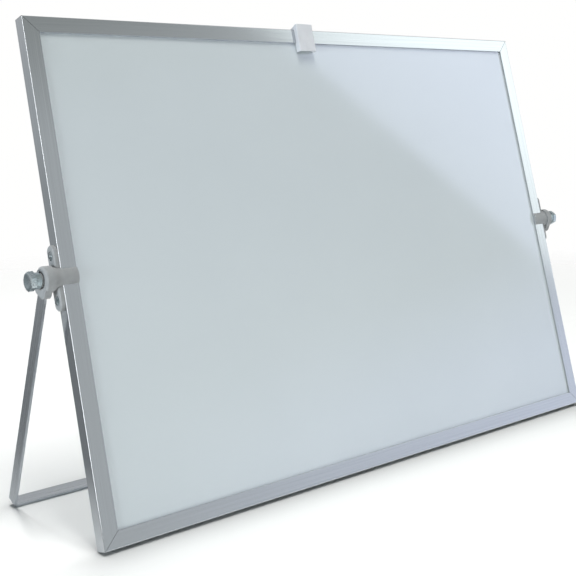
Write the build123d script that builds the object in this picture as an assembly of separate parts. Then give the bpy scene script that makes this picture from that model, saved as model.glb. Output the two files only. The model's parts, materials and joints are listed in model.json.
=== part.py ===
from build123d import *
from build123d.topology import SkipClean
from math import acos, atan2, cos, degrees, hypot, radians, sin, tan
import os

# Reversible desk whiteboard on a swinging U stand. Millimetres: X runs along the board,
# +Y is the back and +Z is up. The origin is on the desk under the middle of the easel.
# Each piece is drawn about the pivot line, with the board upright and the stand hanging
# straight down, and is then leaned into its place.

# Board
board_width = 420.0
board_height = 300.0
board_lean = 16.0              # degrees back from upright

# Frame extrusion: a closed chamber along the outside and a channel for the panel inside
rail_face = 9.5                # outer edge to inner lip
rail_thickness = 9.2           # front face to back face
rail_wall = 1.1
rail_lip = 1.3
chamber_width = 4.1
web_thickness = 0.8
rail_edge_radius = 0.6

# Corner keys, one inside each mitred corner
key_leg = 24.0
key_clearance = 0.1
key_notch_pitch = 4.5
key_notch_count = 3
key_notch_depth = 0.5
key_tip = 1.2

# Panel: two lacquered steel sheets bonded to a board core
sheet_thickness = 0.3
panel_clearance = 0.3          # to the bottom of the channel
writing_margin = 0.5           # writing area to the lips, and to the clip

# Pivot bolt, M6
bolt_radius = 3.0
bolt_length = 18.0             # under the head
bolt_tip_chamfer = 0.6
hex_flats = 10.0
head_height = 4.0
head_chamfer = 0.2
washer_face_height = 0.5
washer_face_radius = 4.6
nut_height = 3.2
thread_clearance = 0.05
bolt_clearance = 0.3

# Washers under the bolt head
washer_radius = 4.6
washer_bore_clearance = 0.2
flat_washer_thickness = 1.2
spring_washer_thickness = 1.6
spring_washer_gap = 0.7
spring_washer_slant = 25.0     # degrees

# Frame bracket: a plate on the side of the stile and a barrel that straddles it
barrel_radius = 6.5
barrel_reach = 4.45            # beyond the side of the frame
plate_length = 37.0
plate_width = 8.0
plate_thickness = 2.8
plate_edge = 0.7               # chamfer
pocket_clearance = 0.1
pocket_depth = 3.3

# Bracket screws, countersunk, 2.9 mm
screw_offset = 12.5            # above and below the pivot
screw_radius = 1.45
screw_length = 6.5             # blunt end
screw_head_radius = 2.75
screw_head_height = 1.5
screw_sink = 0.5               # head below the plate
screw_clearance = 0.1

# Friction ring between the bracket and the knuckle
ring_radius = 5.4
ring_recess = 0.4
ring_clearance = 0.04
seam = 0.1

# Stand knuckle
knuckle_radius = 7.5
knuckle_width = 5.85
knuckle_edge = 1.2             # chamfer
pivot_clearance = 0.08
lug_width = 13.0
lug_reach = 10.2               # below the pivot
lug_thickness = 4.4
lug_corner_radius = 4.0
lug_edge = 0.5                 # chamfer
relief_radius = 4.9
relief_depth = 1.2
boss_radius = 3.95
boss_height = 1.1
plug_radius = 1.5
plug_clearance = 0.02

# Stand strip
strip_width = 8.0
strip_thickness = 2.0
strip_cover = 1.4              # knuckle wall over the strip
strip_start = 4.7              # strip end below the pivot
strip_bend_radius = 1.0        # inside
strip_edge = 0.3               # chamfer
bar_clearance = 1.8            # foot bar past the edge of the board as the stand swings

# Catch clip on the top rail
clip_width = 14.2
clip_offset = -6.7             # along the rail
clip_gap = 0.1
clip_wall = 1.2
clip_leg_thickness = 3.0
clip_front_wall = 1.4          # where the leg is hollow below the rail
clip_front_leg = 15.9
clip_back_leg = 13.0
clip_back_thickness = 1.4
clip_crest = 3.4               # above the rail
clip_land = 1.3                # flat top behind the front face
clip_ramp = 3.5                # behind the front face of the rail
clip_rib = 1.3
clip_catch = 0.9               # behind the lip of the rail
clip_catch_height = 1.2
clip_edge_radius = 0.6

overcut = 1.0                  # how far a cut starts outside the face that it opens

# Worked out from the sizes above
half_width = board_width / 2
half_height = board_height / 2
half_rail = rail_thickness / 2
cavity = rail_thickness - 2 * rail_lip
channel_start = rail_wall + chamber_width + web_thickness
hex_corner_radius = hex_flats / 2 / cos(radians(30))

bracket_face = half_width + barrel_reach
knuckle_inner = bracket_face + seam
knuckle_outer = knuckle_inner + knuckle_width
boss_face = knuckle_outer + boss_height
flat_washer_face = boss_face + flat_washer_thickness
head_seat = flat_washer_face + spring_washer_thickness
strip_outer = knuckle_outer - strip_cover
strip_inner = strip_outer - strip_thickness
stand_reach = half_height + bar_clearance + strip_thickness

# The board rests on its rounded back lower edge and the stand on the front edge of its foot.
lean = radians(board_lean)
rest_y = half_rail - rail_edge_radius
rest_z = half_height - rail_edge_radius
pivot_height = rest_y * sin(lean) + rest_z * cos(lean) + rail_edge_radius
toe_y = strip_width / 2 - strip_edge
toe_z = stand_reach
swing = atan2(toe_y, toe_z) + acos(pivot_height / hypot(toe_y, toe_z))
front_reach = rest_y * cos(lean) + rest_z * sin(lean) + rail_edge_radius
heel_y = strip_width / 2
heel_z = stand_reach - strip_edge
back_reach = heel_y * cos(swing) + heel_z * sin(swing)
pivot = Pos(0, (front_reach - back_reach) / 2, pivot_height)
board_place = pivot * Rot(-board_lean, 0, 0)
stand_place = pivot * Rot(degrees(swing), 0, 0)


def rod(radius, start, end, z=0.0):
    """A cylinder along X."""
    place = Pos(start, 0, z) * Rot(0, 90, 0)
    return place * Cylinder(radius, end - start, align=(Align.CENTER, Align.CENTER, Align.MIN))


def cone(start_radius, end_radius, start, end, z=0.0):
    """A cone along X."""
    place = Pos(start, 0, z) * Rot(0, 90, 0)
    align = (Align.CENTER, Align.CENTER, Align.MIN)
    return place * Cone(start_radius, end_radius, end - start, align=align)


def block(x_range, y_range, z_range):
    """A box from its limits on each axis."""
    size = [high - low for low, high in (x_range, y_range, z_range)]
    middle = [(high + low) / 2 for low, high in (x_range, y_range, z_range)]
    return Pos(*middle) * Box(*size)


def hexagon(flats, start, end):
    """A hexagonal prism along X, corners up and down."""
    face = RegularPolygon(flats / 2, 6, major_radius=False)
    return extrude(Plane(origin=(start, 0, 0), x_dir=(0, 0, 1), z_dir=(1, 0, 0)) * face, end - start)


def left_of(part):
    return mirror(part, about=Plane.YZ)


# ---- frame ----

def rail_profile():
    body = Rectangle(rail_thickness, rail_face, align=(Align.CENTER, Align.MAX))
    body = fillet(body.vertices().sort_by(Axis.Y)[-2:], rail_edge_radius)
    chamber = Rectangle(cavity, chamber_width, align=(Align.CENTER, Align.MAX))
    channel = Rectangle(cavity, rail_face - channel_start, align=(Align.CENTER, Align.MAX))
    return body - Pos(0, -rail_wall) * chamber - Pos(0, -channel_start) * channel


def mitred_rail(length, distance):
    """A rail along X whose outer face is at z = distance, cut at 45 degrees at both ends."""
    start = Plane(origin=(-length / 2, 0, distance), x_dir=(0, 1, 0), z_dir=(1, 0, 0))
    bar = extrude(start * rail_profile(), length)
    short = length / 2 - rail_face
    outline = Polygon(
        (-length / 2, distance), (length / 2, distance),
        (short, distance - rail_face), (-short, distance - rail_face), align=None)
    return bar & extrude(Plane.XZ * outline, rail_thickness, both=True)


def right_stile():
    stile = Rot(0, 90, 0) * mitred_rail(board_height, half_width)
    stile -= rod(bolt_radius + bolt_clearance, half_width - rail_wall - overcut, half_width + overcut)
    for side in (-1, 1):
        stile -= rod(screw_radius + thread_clearance, half_width - rail_wall - overcut,
                     half_width + overcut, side * screw_offset)
    return stile


def corner_key():
    """An L in the chambers of the top and right rails, notched so that the staking grips it."""
    corner_x = half_width - rail_wall - key_clearance
    corner_z = half_height - rail_wall - key_clearance
    thickness = chamber_width - 2 * key_clearance
    width = cavity - 2 * key_clearance
    across = (-width / 2, width / 2)
    flat_leg = block((corner_x - key_leg, corner_x), across, (corner_z - thickness, corner_z))
    upright_leg = block((corner_x - thickness, corner_x), across, (corner_z - key_leg, corner_z))
    flat_leg = chamfer(flat_leg.faces().sort_by(Axis.X)[0].edges(), key_tip)
    upright_leg = chamfer(upright_leg.faces().sort_by(Axis.Z)[0].edges(), key_tip)
    key = flat_leg + upright_leg
    notch = Rot(90, 0, 0) * extrude(RegularPolygon(key_notch_depth, 4), width, both=True)
    for step in range(key_notch_count):
        along = key_leg - 2 * key_tip - step * key_notch_pitch
        key -= Pos(corner_x - along, 0, corner_z) * notch
        key -= Pos(corner_x, 0, corner_z - along) * notch
    return key


def corner_keys():
    right_upper = corner_key()
    right_pair = [right_upper, mirror(right_upper, about=Plane.XY)]
    return right_pair + [left_of(key) for key in right_pair]


def panel_layer(front, back):
    """One layer of the panel between two distances from the middle of the board."""
    inset = channel_start + panel_clearance
    half_x = half_width - inset
    half_z = half_height - inset
    return block((-half_x, half_x), (front, back), (-half_z, half_z))


def writing_sheet(front, back):
    """A steel sheet. The area clear of the lips and the clip stays a face of its own on it."""
    half_x = half_width - rail_face - writing_margin
    foot = rail_face + writing_margin - half_height
    head = half_height - clip_front_leg - writing_margin
    writing_area = block((-half_x, half_x), (front, back), (foot, head))
    with SkipClean():
        return (panel_layer(front, back) - writing_area) + writing_area


# ---- hinge ----

def right_bracket():
    """Plate on the side of the stile, with a barrel whose cheeks reach over both of its faces."""
    inner_edge = half_width - rail_face
    plate_face = half_width + plate_thickness
    seat = Plane(origin=(half_width, 0, 0), x_dir=(0, 0, 1), z_dir=(1, 0, 0))
    plate = extrude(seat * SlotOverall(plate_length, plate_width), plate_thickness)
    plate = chamfer(plate.faces().sort_by(Axis.X)[-1].edges(), plate_edge)
    barrel = rod(barrel_radius, inner_edge, bracket_face)
    stile = block((inner_edge - overcut, half_width), (-half_rail, half_rail),
                  (-plate_length, plate_length))
    bracket = plate + (barrel - stile)
    bracket -= rod(bolt_radius + bolt_clearance, half_width - overcut, bracket_face + overcut)
    bracket -= hexagon(hex_flats + 2 * pocket_clearance, half_width, half_width + pocket_depth)
    bracket -= rod(ring_radius + seam, bracket_face - ring_recess, bracket_face + overcut)
    head_top = plate_face - screw_sink
    head_foot = head_top - screw_head_height
    for side in (-1, 1):
        z = side * screw_offset
        bracket -= rod(screw_radius + screw_clearance, half_width - overcut, plate_face, z)
        bracket -= rod(screw_head_radius + screw_clearance, head_top, plate_face + overcut, z)
        bracket -= cone(screw_radius + screw_clearance, screw_head_radius + screw_clearance,
                        head_foot, head_top, z)
    return bracket


def bracket_screw(z):
    """Countersunk screw through the plate into the chamber of the stile."""
    head_top = half_width + plate_thickness - screw_sink
    head_foot = head_top - screw_head_height
    shank = rod(screw_radius, head_top - screw_length, head_foot, z)
    return shank + cone(screw_radius, screw_head_radius, head_foot, head_top, z)


def bracket_screws():
    right_pair = [bracket_screw(side * screw_offset) for side in (-1, 1)]
    return right_pair + [left_of(screw) for screw in right_pair]


def captive_nut():
    """Thin hexagonal nut in the pocket of the bracket, against the side of the frame."""
    end = half_width + nut_height
    bore = rod(bolt_radius + thread_clearance, half_width - overcut, end + overcut)
    return hexagon(hex_flats, half_width, end) - bore


def friction_ring():
    start = bracket_face - ring_recess
    end = knuckle_inner + ring_recess - ring_clearance
    bore = rod(bolt_radius + bolt_clearance, start - overcut, end + overcut)
    return rod(ring_radius, start, end) - bore


def right_knuckle():
    """Round knuckle with a flat lug that is moulded over the end of the strip."""
    barrel = rod(knuckle_radius, knuckle_inner, knuckle_outer)
    barrel = chamfer(barrel.edges().sort_by(Axis.X)[-1], knuckle_edge)
    lug = block((knuckle_outer - lug_thickness, knuckle_outer), (-lug_width / 2, lug_width / 2),
                (-lug_reach, 0))
    lug = fillet(lug.edges().filter_by(Axis.X).sort_by(Axis.Z)[:2], lug_corner_radius)
    lug_rim = lug.faces().sort_by(Axis.X)[-1].edges().sort_by(Axis.Z)[:-1]
    lug = chamfer(lug_rim, lug_edge)
    knuckle = barrel + lug
    knuckle -= rod(relief_radius, knuckle_outer - relief_depth, knuckle_outer + overcut)
    knuckle += rod(boss_radius, knuckle_outer - relief_depth, boss_face)
    knuckle -= rod(bolt_radius + pivot_clearance, knuckle_inner - overcut, boss_face + overcut)
    knuckle -= rod(ring_radius + seam, knuckle_inner - overcut, knuckle_inner + ring_recess)
    knuckle -= block((strip_inner, strip_outer), (-strip_width / 2, strip_width / 2),
                     (-lug_reach - overcut, -strip_start))
    return knuckle + rod(plug_radius, strip_inner, strip_outer, plug_height())


def plug_height():
    """The plug of plastic through the strip is midway between the strip's end and the lug's."""
    return -(strip_start + lug_reach) / 2


def flat_washer():
    ring = rod(washer_radius, boss_face, flat_washer_face)
    bore = rod(bolt_radius + washer_bore_clearance, boss_face - overcut, flat_washer_face + overcut)
    return ring - bore


def spring_washer():
    """Square-section lock washer, pulled flat, with its slanting split at the top."""
    ring = rod(washer_radius, flat_washer_face, head_seat)
    ring -= rod(bolt_radius + washer_bore_clearance, flat_washer_face - overcut, head_seat + overcut)
    middle = (flat_washer_face + head_seat) / 2
    align = (Align.CENTER, Align.CENTER, Align.MIN)
    split = Box(2 * washer_radius, spring_washer_gap, washer_radius + overcut, align=align)
    return ring - Pos(middle, 0, 0) * Rot(0, 0, spring_washer_slant) * split


def pivot_bolt():
    """Hexagon bolt: chamfered head, raised washer face and plain-turned shank."""
    end = head_seat + head_height
    hex_start = head_seat + washer_face_height
    flare = (end - hex_start) / tan(radians(30))
    face_radius = hex_flats / 2 - head_chamfer
    head = hexagon(hex_flats, hex_start, end) & cone(face_radius + flare, face_radius, hex_start, end)
    tip = head_seat - bolt_length
    shank = rod(bolt_radius, tip + bolt_tip_chamfer, head_seat)
    point = cone(bolt_radius - bolt_tip_chamfer, bolt_radius, tip, tip + bolt_tip_chamfer)
    return head + rod(washer_face_radius, head_seat, hex_start) + shank + point


# ---- stand ----

def stand_strip():
    """One flat strip bent into a U: two arms and the foot bar between them."""
    def filled_u(half, reach, radius):
        face = Rectangle(2 * half, reach - strip_start, align=(Align.CENTER, Align.MAX))
        return Pos(0, -strip_start) * fillet(face.vertices().sort_by(Axis.Y)[:2], radius)

    outer = filled_u(strip_outer, stand_reach, strip_bend_radius + strip_thickness)
    inner = filled_u(strip_inner, stand_reach - strip_thickness, strip_bend_radius)
    strip = extrude(Plane.XZ * (outer - inner), strip_width / 2, both=True)
    sides = strip.faces().sort_by(Axis.Y)
    rims = [edge for face in (sides[0], sides[-1]) for edge in face.edges().sort_by(Axis.Z)[:-2]]
    strip = chamfer(rims, strip_edge)
    for side in (-1, 1):
        ends = sorted((side * strip_inner, side * strip_outer))
        strip -= rod(plug_radius + plug_clearance, ends[0] - overcut, ends[1] + overcut,
                     plug_height())
    return strip


# ---- clip ----

def top_clip():
    """Clip that snaps over the top rail; its raised front edge stops the foot bar."""
    front = -half_rail
    back = half_rail
    top = half_height
    front_face = front - clip_gap - clip_leg_thickness
    back_face = back + clip_gap + clip_back_thickness
    roof = top + clip_gap + clip_wall
    outline = Polygon(
        (front_face, top - clip_front_leg), (front_face, top + clip_crest),
        (front_face + clip_land, top + clip_crest), (front + clip_ramp, roof), (back_face, roof),
        (back_face, top - clip_back_leg), (back + clip_gap, top - clip_back_leg),
        (back + clip_gap, top + clip_gap),
        (front - clip_gap, top + clip_gap), (front - clip_gap, top - clip_front_leg), align=None)
    crest = outline.vertices().sort_by(Axis.Y)[-2:]
    outline = fillet(crest + outline.vertices().sort_by(Axis.X)[-2:], clip_edge_radius)
    side = Plane(origin=(clip_offset - clip_width / 2, 0, 0), x_dir=(0, 1, 0), z_dir=(1, 0, 0))
    clip = extrude(side * outline, clip_width, dir=(1, 0, 0))
    clip = fillet(clip.faces().sort_by(Axis.Y)[0].edges().filter_by(Axis.Z), clip_edge_radius)
    lip_edge = top - rail_face - clip_gap
    ends = (clip_offset - clip_width / 2, clip_offset + clip_width / 2)
    clip -= block((ends[0] + clip_rib, ends[1] - clip_rib), (front_face + clip_front_wall, front),
                  (top - clip_front_leg - overcut, lip_edge))
    front_depth = (front - clip_gap, front + clip_catch)
    for rib in ((ends[0], ends[0] + clip_rib), (ends[1] - clip_rib, ends[1])):
        clip += block(rib, front_depth, (top - clip_front_leg, lip_edge))
    back_depth = (back - clip_catch, back + clip_gap)
    return clip + block(ends, back_depth, (lip_edge - clip_catch_height, lip_edge))


def board_pieces():
    half_core = cavity / 2 - sheet_thickness
    stile = right_stile()
    bracket = right_bracket()
    nut = captive_nut()
    ring = friction_ring()
    rail = mitred_rail(board_width, half_height)
    return {
        "top_rail": rail,
        "bottom_rail": mirror(rail, about=Plane.XY),
        "right_stile": stile,
        "left_stile": left_of(stile),
        "corner_keys": corner_keys(),
        "front_sheet": writing_sheet(-cavity / 2, -half_core),
        "core_panel": panel_layer(-half_core, half_core),
        "back_sheet": writing_sheet(half_core, cavity / 2),
        "right_bracket": bracket,
        "left_bracket": left_of(bracket),
        "bracket_screws": bracket_screws(),
        "captive_nuts": [nut, left_of(nut)],
        "friction_rings": [ring, left_of(ring)],
        "top_clip": top_clip(),
        "right_flat_washer": flat_washer(),
        "left_flat_washer": left_of(flat_washer()),
        "right_spring_washer": spring_washer(),
        "left_spring_washer": left_of(spring_washer()),
        "right_pivot_bolt": pivot_bolt(),
        "left_pivot_bolt": left_of(pivot_bolt()),
    }


def stand_pieces():
    knuckle = right_knuckle()
    return {
        "stand_strip": stand_strip(),
        "right_knuckle": knuckle,
        "left_knuckle": left_of(knuckle),
    }


def save(pieces, place):
    for name, piece in pieces.items():
        solids = piece if isinstance(piece, list) else [piece]
        placed = [place * solid for solid in solids]
        shape = Compound(children=placed) if len(placed) > 1 else placed[0]
        shape.label = name
        export_step(shape, f"parts/{name}.step")


os.makedirs("parts", exist_ok=True)
save(board_pieces(), board_place)
save(stand_pieces(), stand_place)
print("pivot", pivot.position, "stand angle", degrees(swing), "reach", stand_reach)
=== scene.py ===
import bmesh
import bpy
import json
import math
from mathutils import Euler, Matrix, Vector


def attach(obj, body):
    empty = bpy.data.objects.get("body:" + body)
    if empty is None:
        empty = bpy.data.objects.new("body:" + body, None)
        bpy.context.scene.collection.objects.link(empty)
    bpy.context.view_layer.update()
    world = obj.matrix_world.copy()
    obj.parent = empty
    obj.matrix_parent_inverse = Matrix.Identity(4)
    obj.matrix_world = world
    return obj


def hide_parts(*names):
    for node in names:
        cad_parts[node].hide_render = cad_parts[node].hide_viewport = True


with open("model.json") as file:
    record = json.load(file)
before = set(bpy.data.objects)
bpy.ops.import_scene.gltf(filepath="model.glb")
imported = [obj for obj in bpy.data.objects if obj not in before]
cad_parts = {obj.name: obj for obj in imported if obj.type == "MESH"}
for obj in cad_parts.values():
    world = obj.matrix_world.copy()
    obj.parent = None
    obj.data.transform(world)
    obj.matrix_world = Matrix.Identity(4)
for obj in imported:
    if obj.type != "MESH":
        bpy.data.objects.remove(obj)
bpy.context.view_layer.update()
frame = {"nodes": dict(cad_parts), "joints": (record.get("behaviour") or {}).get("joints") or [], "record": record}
nodes = frame["nodes"]
scene = bpy.context.scene

# the board and the stand have axes of their own; the pivot and the board's lean are read from the frame
swingJoint = next(joint for joint in frame["joints"] if joint["name"] == "stand_swing")
writingFace = next(mount for mount in frame["record"]["mounts"] if mount["name"] == "front_writing_face")
pivotPoint = Vector(swingJoint["pos_m"])
boardLean = math.asin(writingFace["axis"][2])
standAngle = math.radians(20.546)  # between the arms and the upright at rest
boardHalf = {"width": 0.210, "height": 0.150}
millimetre = 0.001
boardPlace = Matrix.Translation(pivotPoint) @ Matrix.Rotation(-boardLean, 4, "X")


def addNode(tree, kind, **settings):
    node = tree.nodes.new(kind)
    for name, value in settings.items():
        setattr(node, name, value)
    return node


def feed(tree, socket, value):
    # a socket is linked, anything else is typed in
    if isinstance(value, bpy.types.NodeSocket):
        tree.links.new(value, socket)
    else:
        socket.default_value = value


def calc(tree, operation, *values):
    node = addNode(tree, "ShaderNodeMath", operation=operation)
    for socket, value in zip(node.inputs, values):
        feed(tree, socket, value)
    return node.outputs[0]


def remap(tree, value, low, high, toLow=0.0, toHigh=1.0):
    node = addNode(tree, "ShaderNodeMapRange", clamp=True)
    for name, amount in (("Value", value), ("From Min", low), ("From Max", high),
                         ("To Min", toLow), ("To Max", toHigh)):
        feed(tree, node.inputs[name], amount)
    return node.outputs["Result"]


def noise(tree, position, size, detail=3.0, roughness=0.5):
    node = addNode(tree, "ShaderNodeTexNoise")
    feed(tree, node.inputs["Vector"], position)
    feed(tree, node.inputs["Scale"], size)
    node.inputs["Detail"].default_value = detail
    node.inputs["Roughness"].default_value = roughness
    return node.outputs["Fac"]


def blendColours(tree, factor, first, second):
    node = addNode(tree, "ShaderNodeMix", data_type="RGBA")
    feed(tree, node.inputs["Factor"], factor)
    for name, colour in (("A", first), ("B", second)):
        socket = next(s for s in node.inputs if s.name == name and s.type == "RGBA")
        feed(tree, socket, colour if isinstance(colour, bpy.types.NodeSocket) else (*colour, 1.0))
    return next(s for s in node.outputs if s.type == "RGBA")


def stretched(tree, position, x, y, z):
    node = addNode(tree, "ShaderNodeVectorMath", operation="MULTIPLY")
    feed(tree, node.inputs[0], position)
    scales = addNode(tree, "ShaderNodeCombineXYZ")
    for socket, value in zip(scales.inputs, (x, y, z)):
        feed(tree, socket, value)
    tree.links.new(scales.outputs[0], node.inputs[1])
    return node.outputs[0]


def newGroup(name, inputs, outputs):
    group = bpy.data.node_groups.new(name, "ShaderNodeTree")
    for label, kind, value in inputs:
        socket = group.interface.new_socket(label, in_out="INPUT", socket_type=kind)
        if value is not None:
            socket.default_value = value
    for label in outputs:
        group.interface.new_socket(label, in_out="OUTPUT", socket_type="NodeSocketFloat")
    return group, addNode(group, "NodeGroupInput").outputs, addNode(group, "NodeGroupOutput").inputs


def useGroup(tree, group, **values):
    node = addNode(tree, "ShaderNodeGroup", node_tree=group)
    for name, value in values.items():
        feed(tree, node.inputs[name], value)
    return node.outputs


grainEffect = {"broad": 0.21, "broadShare": 0.3, "fineShare": 0.7, "tones": (0.35, 0.65)}


def makeDrawnGrain():
    # fine lines left along the length by extrusion or rolling; the length is along the first axis
    look = grainEffect
    group, given, made = newGroup(
        "drawnGrain",
        (("Position", "NodeSocketVector", None), ("Fineness", "NodeSocketFloat", 2500.0),
         ("Stretch", "NodeSocketFloat", 120.0)),
        ("Tone", "Height"))
    along = calc(group, "DIVIDE", given["Fineness"], given["Stretch"])
    lines = stretched(group, given["Position"], along, given["Fineness"], given["Fineness"])
    fine = noise(group, lines, 1.0, detail=3.0, roughness=0.6)
    broad = noise(group, lines, look["broad"], detail=2.0)
    mixed = calc(group, "MULTIPLY_ADD", broad, look["broadShare"],
                 calc(group, "MULTIPLY", fine, look["fineShare"]))
    feed(group, made["Tone"], remap(group, mixed, *look["tones"]))
    feed(group, made["Height"], fine)
    return group


cloudEffect = {"tones": (0.32, 0.68), "finer": 5.5, "marks": (0.5, 0.72)}


def makeCloudTone():
    # slow changes of tone over a large face, and finer marks
    look = cloudEffect
    group, given, made = newGroup(
        "cloudTone",
        (("Position", "NodeSocketVector", None), ("Scale", "NodeSocketFloat", 8.0)),
        ("Tone", "Marks"))
    slow = noise(group, given["Position"], given["Scale"], 2.0)
    feed(group, made["Tone"], remap(group, slow, *look["tones"]))
    finer = calc(group, "MULTIPLY", given["Scale"], look["finer"])
    marks = noise(group, given["Position"], finer, 6.0, 0.62)
    feed(group, made["Marks"], remap(group, marks, *look["marks"]))
    return group


mouldEffect = {"slow": 160.0, "tones": (0.35, 0.65)}


def makeMouldGrain():
    # spark-eroded mould finish
    look = mouldEffect
    group, given, made = newGroup(
        "mouldGrain",
        (("Position", "NodeSocketVector", None), ("Scale", "NodeSocketFloat", 4200.0)),
        ("Height", "Tone"))
    pits = addNode(group, "ShaderNodeTexVoronoi", feature="SMOOTH_F1")
    feed(group, pits.inputs["Vector"], given["Position"])
    feed(group, pits.inputs["Scale"], given["Scale"])
    slow = noise(group, given["Position"], look["slow"], 2.0)
    feed(group, made["Height"], pits.outputs["Distance"])
    feed(group, made["Tone"], remap(group, slow, *look["tones"]))
    return group


dustEffect = {"facing": (0.25, 0.95), "specks": 900.0, "cover": (0.48, 0.75)}


def makeSettledDust():
    # a trace of dust where a face looks up
    look = dustEffect
    group, given, made = newGroup(
        "settledDust",
        (("Position", "NodeSocketVector", None), ("Amount", "NodeSocketFloat", 0.3)),
        ("Mask",))
    facing = addNode(group, "ShaderNodeSeparateXYZ")
    feed(group, facing.inputs[0], addNode(group, "ShaderNodeNewGeometry").outputs["Normal"])
    upward = remap(group, facing.outputs["Z"], *look["facing"])
    specks = remap(group, noise(group, given["Position"], look["specks"], 5.0, 0.7), *look["cover"])
    lying = calc(group, "MULTIPLY", upward, specks)
    feed(group, made["Mask"], calc(group, "MULTIPLY", lying, given["Amount"]))
    return group


drawnGrain = makeDrawnGrain()
cloudTone = makeCloudTone()
mouldGrain = makeMouldGrain()
settledDust = makeSettledDust()
print("shared effects made")


def newMaterial(name):
    material = bpy.data.materials.new(name)
    material.use_nodes = True
    tree = material.node_tree
    return material, tree, tree.nodes["Principled BSDF"]


def restPosition(tree):
    return addNode(tree, "ShaderNodeTexCoord").outputs["Object"]


def turned(tree, rotation, location=(0.0, 0.0, 0.0)):
    # rest position in a piece's own axes
    node = addNode(tree, "ShaderNodeMapping")
    feed(tree, node.inputs["Vector"], restPosition(tree))
    node.inputs["Rotation"].default_value = rotation
    node.inputs["Location"].default_value = location
    return node.outputs["Vector"]


def onBoard(tree):
    # position on the board: x along it, y through it and z up it
    back = boardPlace.inverted()
    return turned(tree, back.to_euler("XYZ"), back.to_translation())


def bumped(tree, shader, height, distance, strength):
    node = addNode(tree, "ShaderNodeBump")
    node.inputs["Distance"].default_value = distance
    node.inputs["Strength"].default_value = strength
    feed(tree, node.inputs["Height"], height)
    tree.links.new(node.outputs["Normal"], shader.inputs["Normal"])


frameFinish = {"light": (0.62, 0.635, 0.65), "dark": (0.56, 0.575, 0.59), "roughness": (0.14, 0.10),
               "seam": (0.05, 0.05, 0.055), "seamWidth": 0.00022, "seamRoughness": 0.8, "fineness": 3800.0,
               "stretch": 260.0, "dust": 0.22, "dustColour": (0.62, 0.61, 0.58), "depth": 0.00003,
               "strength": 0.3, "grainShare": 0.4}


def makeFrameMetal(name, upright):
    # satin anodised extrusion, with a hairline where the mitres meet
    look = frameFinish
    material, tree, shader = newMaterial(name)
    rotation = Euler((boardLean, math.radians(90), 0.0)) if upright else Euler((boardLean, 0.0, 0.0))
    grain = useGroup(tree, drawnGrain, Position=turned(tree, rotation), Fineness=look["fineness"],
                     Stretch=look["stretch"])
    place = addNode(tree, "ShaderNodeSeparateXYZ")
    feed(tree, place.inputs[0], onBoard(tree))
    inX = calc(tree, "SUBTRACT", boardHalf["width"], calc(tree, "ABSOLUTE", place.outputs["X"]))
    inZ = calc(tree, "SUBTRACT", boardHalf["height"], calc(tree, "ABSOLUTE", place.outputs["Z"]))
    apart = calc(tree, "ABSOLUTE", calc(tree, "SUBTRACT", inX, inZ))
    seam = remap(tree, apart, look["seamWidth"] * 0.4, look["seamWidth"], 1.0, 0.0)
    metal = blendColours(tree, grain["Tone"], look["dark"], look["light"])
    dust = useGroup(tree, settledDust, Position=restPosition(tree), Amount=look["dust"])
    metal = blendColours(tree, dust["Mask"], metal, look["dustColour"])
    feed(tree, shader.inputs["Base Color"], blendColours(tree, seam, metal, look["seam"]))
    rough = remap(tree, grain["Tone"], 0.0, 1.0, *look["roughness"])
    seamRough = calc(tree, "MULTIPLY", seam, look["seamRoughness"])
    feed(tree, shader.inputs["Roughness"], calc(tree, "MAXIMUM", rough, seamRough))
    shader.inputs["Metallic"].default_value = 1.0
    height = calc(tree, "SUBTRACT", calc(tree, "MULTIPLY", grain["Height"], look["grainShare"]), seam)
    bumped(tree, shader, height, look["depth"], look["strength"])
    return material


lacquerFinish = {"light": (0.70, 0.765, 0.75), "dark": (0.675, 0.74, 0.725), "roughness": (0.07, 0.11),
                 "index": 2.6, "gloss": (0.72, 0.72, 1.0), "clouds": 7.0, "wiping": (3.0, 20.0, 14.0),
                 "wipingScale": 1.6, "markShare": 0.35, "cloudShare": 0.4, "peel": 420.0, "depth": 0.000003,
                 "strength": 0.3}


def makeWritingLacquer():
    # baked lacquer on steel: even, glossy, with the faint unevenness of the coat and of wiping
    look = lacquerFinish
    material, tree, shader = newMaterial("writingLacquer")
    position = onBoard(tree)
    clouds = useGroup(tree, cloudTone, Position=position, Scale=look["clouds"])
    wiping = useGroup(tree, cloudTone, Position=stretched(tree, position, *look["wiping"]),
                      Scale=look["wipingScale"])
    feed(tree, shader.inputs["Base Color"], blendColours(tree, clouds["Tone"], look["dark"], look["light"]))
    marks = calc(tree, "MULTIPLY_ADD", wiping["Marks"], look["markShare"],
                 calc(tree, "MULTIPLY", clouds["Tone"], look["cloudShare"]))
    feed(tree, shader.inputs["Roughness"], remap(tree, marks, 0.0, 1.0, *look["roughness"]))
    shader.inputs["IOR"].default_value = look["index"]
    shader.inputs["Specular Tint"].default_value = (*look["gloss"], 1.0)
    bumped(tree, shader, noise(tree, position, look["peel"], 2.0), look["depth"], look["strength"])
    return material


mouldedFinish = {
    "hingePlastic": {"light": (0.36, 0.37, 0.375), "dark": (0.32, 0.33, 0.335), "roughness": (0.42, 0.55),
                     "grain": 3800.0, "depth": 0.00005},
    "clipPlastic": {"light": (0.77, 0.785, 0.82), "dark": (0.73, 0.745, 0.78), "roughness": (0.30, 0.40),
                    "grain": 5200.0, "depth": 0.00002},
    "keyPlastic": {"light": (0.035, 0.035, 0.037), "dark": (0.02, 0.02, 0.022), "roughness": (0.5, 0.65),
                   "grain": 3600.0, "depth": 0.00005},
}
mouldedWear = {"dust": 0.25, "dustColour": (0.72, 0.71, 0.68), "strength": 0.6}


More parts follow.
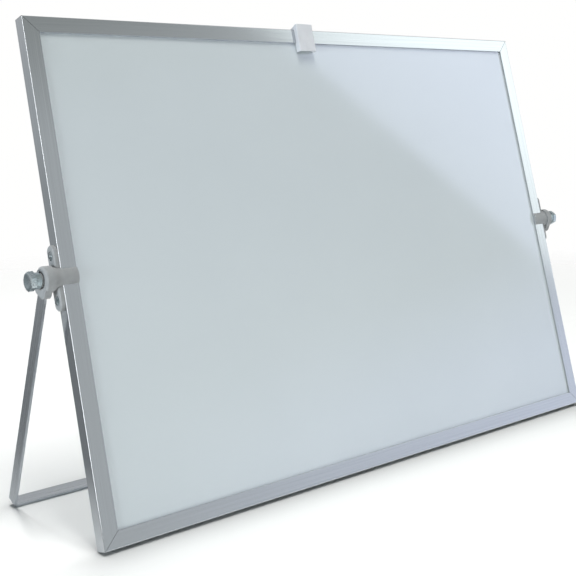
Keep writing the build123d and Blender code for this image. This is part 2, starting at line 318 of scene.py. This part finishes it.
def makeMoulding(name):
    look = mouldedFinish[name]
    material, tree, shader = newMaterial(name)
    grain = useGroup(tree, mouldGrain, Position=restPosition(tree), Scale=look["grain"])
    dust = useGroup(tree, settledDust, Position=restPosition(tree), Amount=mouldedWear["dust"])
    body = blendColours(tree, grain["Tone"], look["dark"], look["light"])
    dusty = blendColours(tree, dust["Mask"], body, mouldedWear["dustColour"])
    feed(tree, shader.inputs["Base Color"], dusty)
    feed(tree, shader.inputs["Roughness"], remap(tree, grain["Tone"], 0.0, 1.0, *look["roughness"]))
    bumped(tree, shader, grain["Height"], look["depth"], mouldedWear["strength"])
    return material


zincFinish = {"dull": (0.43, 0.51, 0.53), "bright": (0.61, 0.66, 0.67), "marks": (0.37, 0.41, 0.42),
              "roughness": (0.20, 0.38), "patches": 260.0, "fineness": 5200.0, "stretch": 6.0,
              "depth": 0.00003, "strength": 0.4}


def makeZincSteel():
    # bright zinc with a thin blue passivate
    look = zincFinish
    material, tree, shader = newMaterial("zincSteel")
    position = restPosition(tree)
    patches = useGroup(tree, cloudTone, Position=position, Scale=look["patches"])
    grain = useGroup(tree, drawnGrain, Position=position, Fineness=look["fineness"], Stretch=look["stretch"])
    plated = blendColours(tree, patches["Tone"], look["dull"], look["bright"])
    feed(tree, shader.inputs["Base Color"], blendColours(tree, patches["Marks"], plated, look["marks"]))
    feed(tree, shader.inputs["Roughness"], remap(tree, grain["Tone"], 0.0, 1.0, *look["roughness"]))
    shader.inputs["Metallic"].default_value = 1.0
    bumped(tree, shader, grain["Height"], look["depth"], look["strength"])
    return material


standFinish = {"dark": (0.50, 0.52, 0.545), "light": (0.63, 0.645, 0.66), "roughness": (0.36, 0.24),
               "fineness": 3000.0, "stretch": 180.0, "bend": (0.2150, 0.2168), "dust": 0.3,
               "dustColour": (0.60, 0.59, 0.56), "depth": 0.00004, "strength": 0.4}


def makeStandSteel():
    # satin plated strip: rolled lines run down the arms and along the foot
    look = standFinish
    material, tree, shader = newMaterial("standSteel")
    downArms = turned(tree, Euler((-standAngle, math.radians(90), 0.0)))
    arms = useGroup(tree, drawnGrain, Position=downArms, Fineness=look["fineness"], Stretch=look["stretch"])
    foot = useGroup(tree, drawnGrain, Position=restPosition(tree), Fineness=look["fineness"],
                    Stretch=look["stretch"])
    place = addNode(tree, "ShaderNodeSeparateXYZ")
    feed(tree, place.inputs[0], restPosition(tree))
    onArm = remap(tree, calc(tree, "ABSOLUTE", place.outputs["X"]), *look["bend"])
    tone, height = (
        calc(tree, "MULTIPLY_ADD", onArm, calc(tree, "SUBTRACT", arms[part], foot[part]), foot[part])
        for part in ("Tone", "Height"))
    dust = useGroup(tree, settledDust, Position=restPosition(tree), Amount=look["dust"])
    metal = blendColours(tree, tone, look["dark"], look["light"])
    feed(tree, shader.inputs["Base Color"], blendColours(tree, dust["Mask"], metal, look["dustColour"]))
    feed(tree, shader.inputs["Roughness"], remap(tree, tone, 0.0, 1.0, *look["roughness"]))
    shader.inputs["Metallic"].default_value = 1.0
    bumped(tree, shader, height, look["depth"], look["strength"])
    return material


coreFinish = {"dark": (0.25, 0.19, 0.13), "light": (0.42, 0.34, 0.25), "fibres": (300.0, 1600.0, 1200.0),
              "roughness": (0.75, 0.9), "depth": 0.0001}


def makeCoreBoard():
    # brown chipboard with fibres; it shows only if the panel is taken out
    look = coreFinish
    material, tree, shader = newMaterial("coreBoard")
    fibres = stretched(tree, restPosition(tree), *look["fibres"])
    tone = remap(tree, noise(tree, fibres, 1.0, 5.0, 0.65), 0.3, 0.7)
    feed(tree, shader.inputs["Base Color"], blendColours(tree, tone, look["dark"], look["light"]))
    feed(tree, shader.inputs["Roughness"], remap(tree, tone, 0.0, 1.0, *look["roughness"]))
    bumped(tree, shader, tone, look["depth"], 1.0)
    return material


rubberFinish = {"body": (0.018, 0.018, 0.019), "bloom": (0.06, 0.06, 0.06), "patches": 420.0,
                "roughness": (0.6, 0.8)}


def makeFrictionRubber():
    # black rubber with a greyish bloom
    look = rubberFinish
    material, tree, shader = newMaterial("frictionRubber")
    bloom = useGroup(tree, cloudTone, Position=restPosition(tree), Scale=look["patches"])
    feed(tree, shader.inputs["Base Color"], blendColours(tree, bloom["Marks"], look["body"], look["bloom"]))
    feed(tree, shader.inputs["Roughness"], remap(tree, bloom["Tone"], 0.0, 1.0, *look["roughness"]))
    return material


frameMetalLong = makeFrameMetal("frameMetalLong", False)
frameMetalUpright = makeFrameMetal("frameMetalUpright", True)
writingLacquer = makeWritingLacquer()
hingePlastic = makeMoulding("hingePlastic")
clipPlastic = makeMoulding("clipPlastic")
keyPlastic = makeMoulding("keyPlastic")
zincSteel = makeZincSteel()
standSteel = makeStandSteel()
coreBoard = makeCoreBoard()
frictionRubber = makeFrictionRubber()
print("materials made")


edgeFinish = {"weld": 0.000001, "flat": 1.0, "sharp": 35.0, "segments": 2}


def finishNode(name, material, edge):
    # the material, and edges broken by a small bevel
    piece = nodes[name]
    piece.data.materials.clear()
    piece.data.materials.append(material)
    if not edge:
        return
    weld = piece.modifiers.new("weld", "WELD")
    weld.merge_threshold = edgeFinish["weld"]
    flat = piece.modifiers.new("flat", "DECIMATE")
    flat.decimate_type = "DISSOLVE"
    flat.angle_limit = math.radians(edgeFinish["flat"])
    bevel = piece.modifiers.new("edge", "BEVEL")
    bevel.width = edge
    bevel.segments = edgeFinish["segments"]
    bevel.limit_method = "ANGLE"
    bevel.angle_limit = math.radians(edgeFinish["sharp"])
    smooth = piece.modifiers.new("smooth", "WEIGHTED_NORMAL")
    smooth.keep_sharp = True


# names, material and the width of the bevel
nodeFinishes = (
    (("top_rail", "bottom_rail"), frameMetalLong, 0.00012),
    (("right_stile", "left_stile"), frameMetalUpright, 0.00012),
    (("front_sheet", "back_sheet"), writingLacquer, 0.0),
    (("right_bracket", "left_bracket", "right_knuckle", "left_knuckle"), hingePlastic, 0.00015),
    (("right_flat_washer", "left_flat_washer", "right_spring_washer", "left_spring_washer"),
     zincSteel, 0.00012),
    (("captive_nuts",), zincSteel, 0.00008),
    (("stand_strip",), standSteel, 0.0),
    (("core_panel",), coreBoard, 0.0),
    (("corner_keys",), keyPlastic, 0.0),
    (("friction_rings",), frictionRubber, 0.0),
    (("top_clip",), clipPlastic, 0.0002),
)
for names, material, edge in nodeFinishes:
    for name in names:
        finishNode(name, material, edge)
print("solids finished")


def roundShell(rows, angles):
    # skin round the X axis; a row is (x, radius) or a function of the angle, in millimetres
    places, faces = [], []
    for row in rows:
        for angle in angles:
            x, radius = row(angle) if callable(row) else row
            places.append((x, radius * math.sin(angle), radius * math.cos(angle)))
    count = len(angles)
    for step in range(len(rows) - 1):
        for k in range(count):
            here, there = step * count + k, step * count + (k + 1) % count
            faces.append((here, there, there + count, here + count))
    return places, faces


def threadShell(look, start, end, limit):
    # helical ridge between start and end; limit(x) is the largest radius there
    steps, profile = 30, ((0.06, 0.0), (0.43, 1.0), (0.57, 1.0), (0.94, 0.0))
    turns = int((end - start) / look["pitch"]) + 3
    places, faces = [], []
    for row in range(turns * len(profile)):
        share, ridge = profile[row % len(profile)]
        for k in range(steps):
            along = start + look["pitch"] * (row // len(profile) - 1 + share + k / steps)
            x = min(max(along, start), end)
            radius = min(look["radius"] - look["depth"] * (1.0 - ridge), limit(x))
            angle = 2.0 * math.pi * k / steps
            places.append((x, radius * math.sin(angle), radius * math.cos(angle)))
    last = turns * len(profile) - 1
    for row in range(last):
        for k in range(steps):
            ahead = row if k + 1 < steps else row + len(profile)
            if ahead + 1 <= last:
                column = (k + 1) % steps
                faces.append((row * steps + k, ahead * steps + column, (ahead + 1) * steps + column,
                              (row + 1) * steps + k))
    return places, faces


def evenAngles(count, extra=()):
    spread = {round(2.0 * math.pi * k / count, 6) for k in range(count)}
    return sorted(spread | {round(angle % (2.0 * math.pi), 6) for angle in extra})


fastenerFinish = {"weld": 0.000002, "sharp": 28.0}


def makeFastener(name, shells, place, mirrored, material, body, node):
    bm = bmesh.new()
    for places, faces in shells:
        corners = [bm.verts.new(Vector(point) * millimetre) for point in places]
        for face in faces:
            bm.faces.new([corners[index] for index in face])
    bmesh.ops.remove_doubles(bm, verts=bm.verts, dist=fastenerFinish["weld"])
    bmesh.ops.dissolve_degenerate(bm, dist=fastenerFinish["weld"], edges=bm.edges)
    side = Matrix.Diagonal((-1.0 if mirrored else 1.0, 1.0, 1.0, 1.0))
    bmesh.ops.transform(bm, matrix=side, verts=bm.verts)
    bmesh.ops.recalc_face_normals(bm, faces=bm.faces)
    bmesh.ops.transform(bm, matrix=place, verts=bm.verts)
    mesh = bpy.data.meshes.new(name)
    bm.to_mesh(mesh)
    bm.free()
    mesh.shade_smooth()
    mesh.set_sharp_from_angle(angle=math.radians(fastenerFinish["sharp"]))
    piece = bpy.data.objects.new(name, mesh)
    scene.collection.objects.link(piece)
    mesh.materials.append(material)
    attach(piece, body)
    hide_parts(node)


boltSizes = {"seat": 224.3, "length": 18.0, "radius": 2.99, "depth": 0.58, "pitch": 1.0, "flats": 10.0,
             "head": 4.0, "faceRadius": 4.55, "washerFace": 0.5, "washerRadius": 4.6, "cornerRadius": 5.62,
             "dish": 0.25, "dishRadii": (3.3, 2.7), "chamfer": 30.0, "point": 0.6, "easing": 0.08,
             "cornerSpread": 0.155}


def boltShells(look):
    # hexagon head with a chamfer, a washer face under it, a shallow dish in its end and a threaded shank
    start, end = look["seat"] + look["washerFace"], look["seat"] + look["head"]
    tip = look["seat"] - look["length"]

    def hexagon(angle):
        turn = (angle % (math.pi / 3.0)) - math.pi / 6.0
        return min(look["flats"] / 2.0 / math.cos(turn), look["cornerRadius"])

    def shoulder(angle):
        drop = (hexagon(angle) - look["faceRadius"]) * math.tan(math.radians(look["chamfer"]))
        return end - drop, hexagon(angle)

    rim = (end - 0.03, look["faceRadius"] + 0.03), (end, look["faceRadius"] - 0.15)
    outer, inner = look["dishRadii"]
    dish = (end - 0.02, outer), (end - look["dish"], inner), (end - look["dish"], 0.0)
    head = [(look["seat"], 0.0), (look["seat"], look["washerRadius"] - look["easing"]),
            (look["seat"] + look["easing"], look["washerRadius"]), (start, look["washerRadius"]),
            lambda angle: (start, hexagon(angle) - 0.1), lambda angle: (start + 0.1, hexagon(angle)),
            shoulder, *rim, *dish]
    core = look["radius"] - look["depth"]
    point = [(tip, 0.0), (tip, core - 0.15), (tip + look["point"], core), (tip + look["point"], 0.0)]
    thread = threadShell(look, tip, look["seat"] + 0.1, lambda x: core - 0.05 + max(x - tip, 0.0) * 0.9)
    corners = [math.pi / 3.0 * k + side * look["cornerSpread"] for k in range(6) for side in (-1, 0, 1)]
    return [roundShell(head, evenAngles(72, corners)), roundShell(point, evenAngles(30)), thread]


for side in ("right", "left"):
    makeFastener(side + "Bolt", boltShells(boltSizes), Matrix.Translation(pivotPoint), side == "left",
                 zincSteel, side + "_bolt", side + "_pivot_bolt")

screwSizes = {"plateFace": 212.8, "sink": 0.5, "length": 6.5, "radius": 1.44, "depth": 0.4, "pitch": 1.1,
              "headRadius": 2.74, "headHeight": 1.5, "dome": 0.25, "crown": 2.1, "wing": 1.5, "slot": 0.6,
              "recess": 1.0, "recessWing": 0.7, "taper": 0.62, "offset": 12.5}
# how far each one was driven round, and how much the upper and lower ones differ
screwTurns = {"right": 0.35, "left": 0.9, "apart": 0.4}


def screwShells(look, spin):
    # raised countersunk head with a cross recess, and a pointed shank
    top = look["plateFace"] - look["sink"]
    tip = top - look["length"]
    foot = top - look["headHeight"]

    def cross(x, wing, half):
        edge = math.atan2(half, wing)

        def row(angle):
            turn = ((angle - spin + math.pi / 4.0) % (math.pi / 2.0)) - math.pi / 4.0
            return x, (wing / math.cos(turn) if abs(turn) <= edge + 0.0001 else half / abs(math.sin(turn)))
        return row

    half = look["slot"] / 2.0
    head = [(foot, 0.0), (foot, look["radius"] - 0.1), (top - 0.15, look["headRadius"]),
            (top - 0.05, look["headRadius"]), (top + 0.05, look["headRadius"] - 0.15),
            (top + look["dome"] * 0.6, look["crown"]), cross(top + look["dome"], look["wing"], half),
            cross(top + look["dome"] - 0.2, look["wing"] - 0.15, half - 0.03),
            cross(top + look["dome"] - look["recess"], look["recessWing"], half - 0.12),
            (top + look["dome"] - look["recess"] - 0.25, 0.0)]
    edges = [spin + math.pi / 2.0 * k + side * math.atan2(half, look["wing"])
             for k in range(4) for side in (-1, 1)]
    inner = [spin + math.pi / 4.0 + math.pi / 2.0 * k for k in range(4)]
    thread = threadShell(look, tip, foot + 0.3, lambda x: max(x - tip, 0.0) * look["taper"])
    core = look["radius"] - look["depth"]
    point = [(tip + 0.2, 0.0), (tip + core / look["taper"], core - 0.02), (foot, core - 0.02), (foot, 0.0)]
    return [roundShell(head, evenAngles(48, edges + inner)), roundShell(point, evenAngles(24)), thread]


for side in ("right", "left"):
    for level, upDown in (("Upper", 1), ("Lower", -1)):
        place = boardPlace @ Matrix.Translation((0.0, 0.0, upDown * screwSizes["offset"] * millimetre))
        shells = screwShells(screwSizes, screwTurns[side] + screwTurns["apart"] * upDown)
        makeFastener(side + level + "Screw", shells, place, side == "left", zincSteel, "board",
                     "bracket_screws")
print("fasteners made")


floorLook = {"radius": 1.1, "fade": (0.5, 1.0), "paper": ((0.91, 0.91, 0.90), (0.93, 0.93, 0.92)),
             # reach and share of the painted contact shadow
             "paintedContactShadow": {"reach": 0.022, "share": 0.58},
             # painted reflection tones: what metal sees of the floor, dark left of the board and light elsewhere
             "paintedReflection": {"left": (0.19, 0.20, 0.21), "right": (0.80, 0.82, 0.83), "between": (-0.27, -0.20)},
             "roughness": 0.9, "specular": 0.1}


def makeFloor():
    # a round of white paper that fades into the white room; a painted contact shadow darkens it close to what
    # stands on it, and metal mirrors it in a painted reflection tone, dim on the left
    look = floorLook
    bpy.ops.mesh.primitive_circle_add(vertices=96, radius=look["radius"], fill_type="NGON")
    floor = bpy.context.object
    floor.name = "floor"
    material, tree, shader = newMaterial("paperSweep")
    spread = addNode(tree, "ShaderNodeVectorMath", operation="LENGTH")
    feed(tree, spread.inputs[0], restPosition(tree))
    feed(tree, shader.inputs["Alpha"], remap(tree, spread.outputs["Value"], *look["fade"], 1.0, 0.0))
    tone = remap(tree, noise(tree, restPosition(tree), 3.0, 2.0), 0.3, 0.7)
    paper = blendColours(tree, tone, *look["paper"])
    # painted contact shadow: ambient occlusion darkens the paper's colour near whatever stands on it
    around = addNode(tree, "ShaderNodeAmbientOcclusion", samples=8)
    around.inputs["Distance"].default_value = look["paintedContactShadow"]["reach"]
    share = look["paintedContactShadow"]["share"]
    paintedContactShadow = calc(tree, "MULTIPLY_ADD", around.outputs["AO"], share, 1.0 - share)
    paper = blendColours(tree, paintedContactShadow, (0.0, 0.0, 0.0), paper)
    # painted reflection: rays from glossy faces see the floor in a painted tone, dark left of the board and light
    # elsewhere, instead of the paper's colour
    across = addNode(tree, "ShaderNodeSeparateXYZ")
    feed(tree, across.inputs[0], restPosition(tree))
    inside = remap(tree, across.outputs["X"], *look["paintedReflection"]["between"])
    paintedReflectionTone = blendColours(tree, inside, look["paintedReflection"]["left"], look["paintedReflection"]["right"])
    mirrored = addNode(tree, "ShaderNodeLightPath").outputs["Is Glossy Ray"]
    feed(tree, shader.inputs["Base Color"], blendColours(tree, mirrored, paper, paintedReflectionTone))
    shader.inputs["Roughness"].default_value = look["roughness"]
    shader.inputs["Specular IOR Level"].default_value = look["specular"]
    floor.data.materials.append(material)


lights = (
    {"name": "sideSoftbox", "place": (1.53, -0.72, 1.0), "target": (0.83, 0.63, 0.48), "size": (1.6, 1.0),
     "roll": -55.0, "watts": 6.0, "colour": (0.92, 1.0, 1.0), "mirrored": True,
     "dimming": ((0.0, 0.25, 0.6, 1.0), (0.38, 0.55, 1.0, 0.4))},
    {"name": "frontOverhead", "place": (-0.1, -0.45, 2.0), "target": (-0.1, -0.451, 0.0), "size": (0.6, 0.9),
     "watts": 24.0, "colour": (1.0, 1.0, 0.99)},
    {"name": "backOverhead", "place": (-0.1, 0.7, 2.0), "target": (-0.1, 0.699, 0.0), "size": (0.45, 0.4),
     "watts": 23.0, "colour": (1.0, 1.0, 0.99)},
    {"name": "frontFill", "place": (0.9, -1.8, 0.5), "target": (0.0, 0.0, 0.15), "size": (1.0, 1.0),
     "watts": 3.6, "colour": (0.97, 1.0, 1.0)},
    {"name": "leftFill", "place": (-1.5, -0.25, 0.2), "target": (-0.21, 0.0, 0.15), "size": (0.6, 0.3),
     "watts": 12.0, "colour": (0.84, 0.93, 1.0)},
    {"name": "edgeStrip", "place": (-1.40, -0.58, 0.50), "target": (-0.21, 0.0, 0.15), "size": (0.22, 1.2),
     "watts": 6.0, "colour": (0.96, 0.98, 1.0), "mirrored": True, "matt": False,
     "shielded": ("front_sheet", "back_sheet")},
)


def makeLight(look):
    data = bpy.data.lights.new(look["name"], "AREA")
    data.shape = "RECTANGLE"
    data.size, data.size_y = look["size"]
    data.energy = look["watts"]
    data.color = look["colour"]
    if "dimming" in look:
        # the cloth is dimmer along its lower edge, and again towards its far end
        data.use_nodes = True
        tree = data.node_tree
        across = addNode(tree, "ShaderNodeSeparateXYZ")
        feed(tree, across.inputs[0], addNode(tree, "ShaderNodeNewGeometry").outputs["Parametric"])
        emission = next(node for node in tree.nodes if node.type == "EMISSION")
        lower, far = (remap(tree, across.outputs["Y"], *steps) for steps in look["dimming"])
        feed(tree, emission.inputs["Strength"], calc(tree, "MULTIPLY", lower, far))
    light = bpy.data.objects.new(look["name"], data)
    scene.collection.objects.link(light)
    light.visible_glossy = look.get("mirrored", False)
    light.visible_diffuse = look.get("matt", True)
    if "shielded" in look:
        # these pieces don't mirror the light
        shade = bpy.data.collections.new(look["name"] + "Shield")
        for name in look["shielded"]:
            shade.objects.link(nodes[name])
        for member in shade.collection_objects:
            member.light_linking.link_state = "EXCLUDE"
        light.light_linking.receiver_collection = shade
    aim = (Vector(look["target"]) - Vector(look["place"])).to_track_quat("-Z", "Y").to_matrix().to_4x4()
    light.matrix_world = (Matrix.Translation(look["place"]) @ aim
                          @ Matrix.Rotation(math.radians(look.get("roll", 0.0)), 4, "Z"))


# colours, and the steps of height (Z), side and depth (Y) of a ray's direction where they change
roomLook = {"backdrop": (1.0, 1.0, 0.995), "fill": (0.11, 0.118, 0.121), "brightSide": (1.0, -0.2, 0.0),
            "wall": (0.55, 0.585, 0.60), "upper": (0.36, 0.385, 0.38), "sill": (0.88, 0.95, 1.12),
            "backLow": (0.36, 0.385, 0.40), "backWall": (0.47, 0.50, 0.52), "backUpper": (0.60, 0.62, 0.64),
            "toUpper": (0.45, 0.54), "toSill": (0.12, 0.21), "sillSide": (0.62, 0.95),
            "toBackWall": (-0.09, -0.03), "toBackUpper": (0.02, 0.10), "toBack": (-0.05, 0.1)}


def makeRoom():
    # white sweep to the eye, even fill for matt faces, and for glossy ones a room: a dim ceiling and a
    # bright sill low on the side of the softbox in front, a wall that brightens upwards behind
    look = roomLook
    world = bpy.data.worlds.new("studioRoom")
    scene.world = world
    world.use_nodes = True
    tree = world.node_tree
    background = tree.nodes["Background"]
    direction = addNode(tree, "ShaderNodeTexCoord").outputs["Generated"]
    split = addNode(tree, "ShaderNodeSeparateXYZ")
    feed(tree, split.inputs[0], direction)
    side = addNode(tree, "ShaderNodeVectorMath", operation="DOT_PRODUCT")
    feed(tree, side.inputs[0], direction)
    side.inputs[1].default_value = look["brightSide"]
    high = remap(tree, split.outputs["Z"], *look["toUpper"])
    low = remap(tree, split.outputs["Z"], *look["toSill"], 1.0, 0.0)
    turn = remap(tree, side.outputs["Value"], *look["sillSide"])
    room = blendColours(tree, high, look["wall"], look["upper"])
    ahead = blendColours(tree, calc(tree, "MULTIPLY", low, turn), room, look["sill"])
    behind = blendColours(tree, remap(tree, split.outputs["Z"], *look["toBackWall"]), look["backLow"],
                          look["backWall"])
    behind = blendColours(tree, remap(tree, split.outputs["Z"], *look["toBackUpper"]), behind,
                          look["backUpper"])
    mirrored = blendColours(tree, remap(tree, split.outputs["Y"], *look["toBack"]), ahead, behind)
    path = addNode(tree, "ShaderNodeLightPath")
    soft = blendColours(tree, path.outputs["Is Glossy Ray"], look["fill"], mirrored)
    feed(tree, background.inputs["Color"],
         blendColours(tree, path.outputs["Is Camera Ray"], soft, look["backdrop"]))


cameraLook = {"place": (-0.4633, -0.5345, 0.2453), "heading": -40.999, "dip": 6.240, "sensor": 36.0,
              "lens": 64.74, "shift": (-0.09, -0.1365)}


def makeCamera():
    look = cameraLook
    data = bpy.data.cameras.new("deskCamera")
    data.sensor_width = look["sensor"]
    data.lens = look["lens"]
    data.shift_x, data.shift_y = look["shift"]
    camera = bpy.data.objects.new("deskCamera", data)
    camera.location = look["place"]
    camera.rotation_euler = (math.radians(90.0 - look["dip"]), 0.0, math.radians(look["heading"]))
    scene.collection.objects.link(camera)
    scene.camera = camera


makeFloor()
for look in lights:
    makeLight(look)
makeRoom()
makeCamera()
scene.view_settings.view_transform = "Standard"
print("room, light and camera made")
